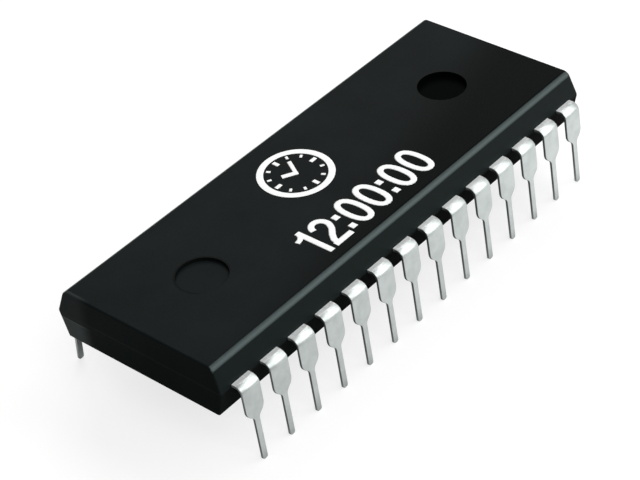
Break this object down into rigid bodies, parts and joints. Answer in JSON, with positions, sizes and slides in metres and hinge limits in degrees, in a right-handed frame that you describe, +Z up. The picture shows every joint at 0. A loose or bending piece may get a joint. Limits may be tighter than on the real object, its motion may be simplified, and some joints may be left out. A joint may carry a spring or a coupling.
{
  "type": "real-time clock memory chip",
  "caption": "Long flat moulded chip package with drafted sides, round ejector recesses in its top and a row of bent flat pins down each long side.",
  "frame": {"origin": "middle of the footprint, on the plane of the pin tips", "axes": "+X along the package away from the end with the first pin, +Z up out of the top face, the first pin on the -Y side"},
  "size_m": [0.0366, 0.0162, 0.0076],
  "materials": {
    "moulded_epoxy": "matt as moulded from a spark-eroded tool",
    "tinned_lead": "satin tin plate",
    "lead_frame_alloy": "rolled copper alloy",
    "silver_adhesive": "cured silver-filled adhesive",
    "silicon": "polished and passivated",
    "gold_wire": "drawn",
    "marking_ink": "pad-printed ink"
  },
  "bodies": {
    "root": {"package_body": "moulded_epoxy", "lead_01": "tinned_lead", "lead_02": "tinned_lead", "lead_03": "tinned_lead", "lead_04": "tinned_lead", "lead_05": "tinned_lead", "lead_06": "tinned_lead", "lead_07": "tinned_lead", "lead_08": "tinned_lead", "lead_09": "tinned_lead", "lead_10": "tinned_lead", "lead_11": "tinned_lead", "lead_12": "tinned_lead", "lead_13": "tinned_lead", "lead_14": "tinned_lead", "lead_15": "tinned_lead", "lead_16": "tinned_lead", "lead_17": "tinned_lead", "lead_18": "tinned_lead", "lead_19": "tinned_lead", "lead_20": "tinned_lead", "lead_21": "tinned_lead", "lead_22": "tinned_lead", "lead_23": "tinned_lead", "lead_24": "tinned_lead", "lead_25": "tinned_lead", "lead_26": "tinned_lead", "lead_27": "tinned_lead", "lead_28": "tinned_lead", "die_pad": "lead_frame_alloy", "die_attach": "silver_adhesive", "silicon_die": "silicon", "bond_wires": "gold_wire"}
  },
  "joints": []
}
